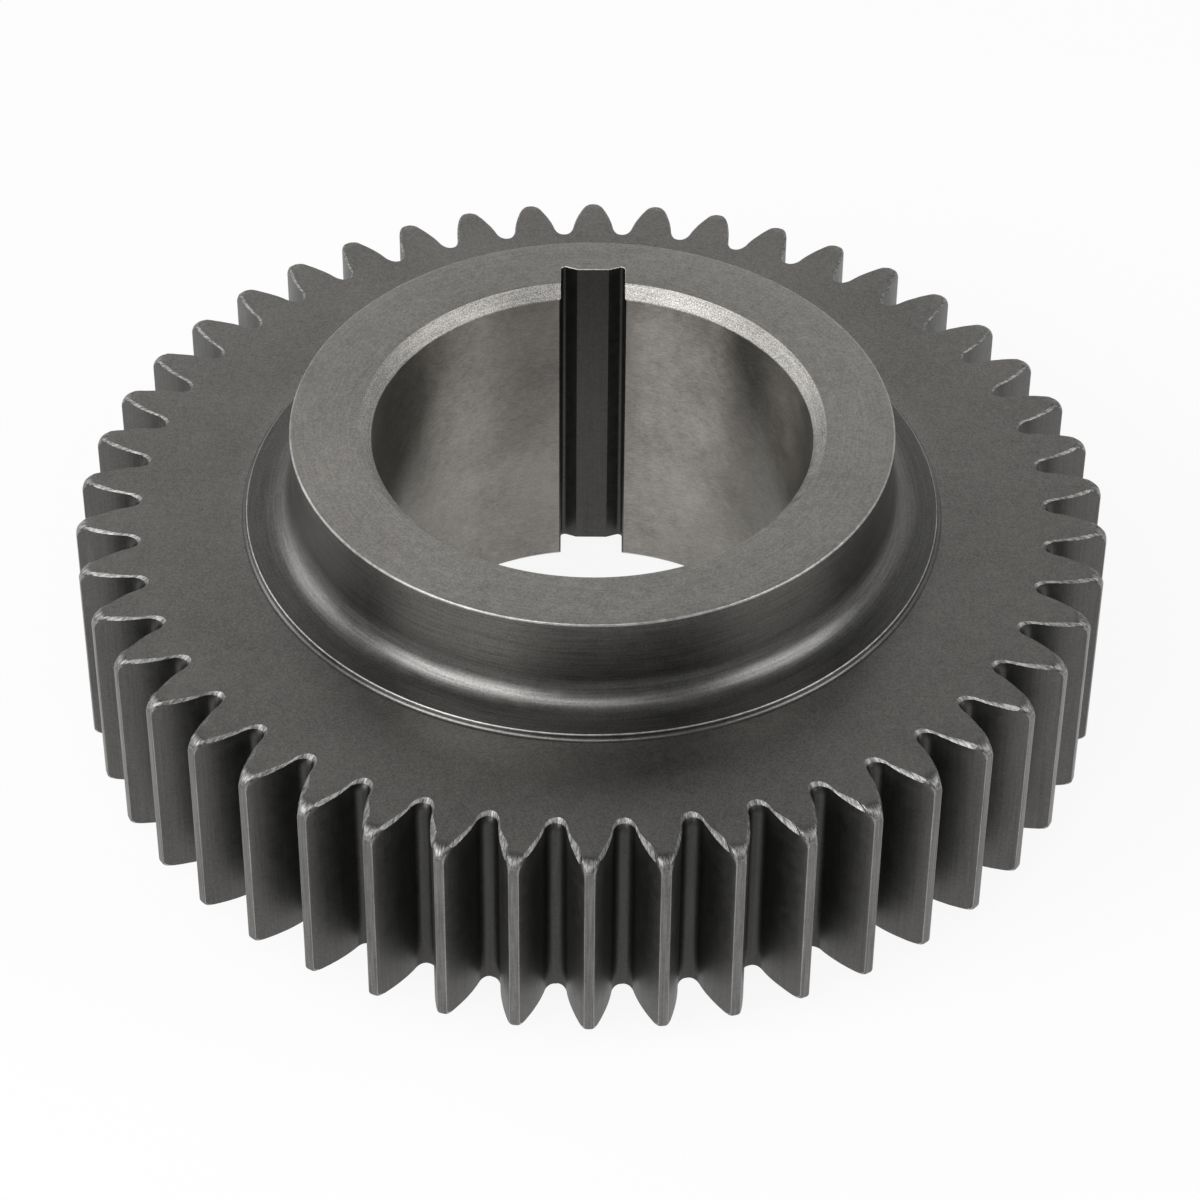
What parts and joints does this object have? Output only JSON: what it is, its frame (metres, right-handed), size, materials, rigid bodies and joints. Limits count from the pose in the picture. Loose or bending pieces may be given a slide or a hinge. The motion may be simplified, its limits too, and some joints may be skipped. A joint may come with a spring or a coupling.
{
  "type": "gear wheel",
  "caption": "Straight-toothed steel gear wheel with a solid web, a raised hub on one side, a short boss on the other and a keyed through bore.",
  "frame": {"origin": "on the bore's axis, at the lower boss's end face, which the gear wheel rests on", "axes": "+Z along the bore, towards the tall hub; +Y through the keyway, with a tooth in line with it"},
  "size_m": [0.1696, 0.17, 0.06],
  "materials": {
    "steel": "dark satin machined steel"
  },
  "bodies": {
    "root": {"gear_wheel": "steel"}
  },
  "joints": []
}
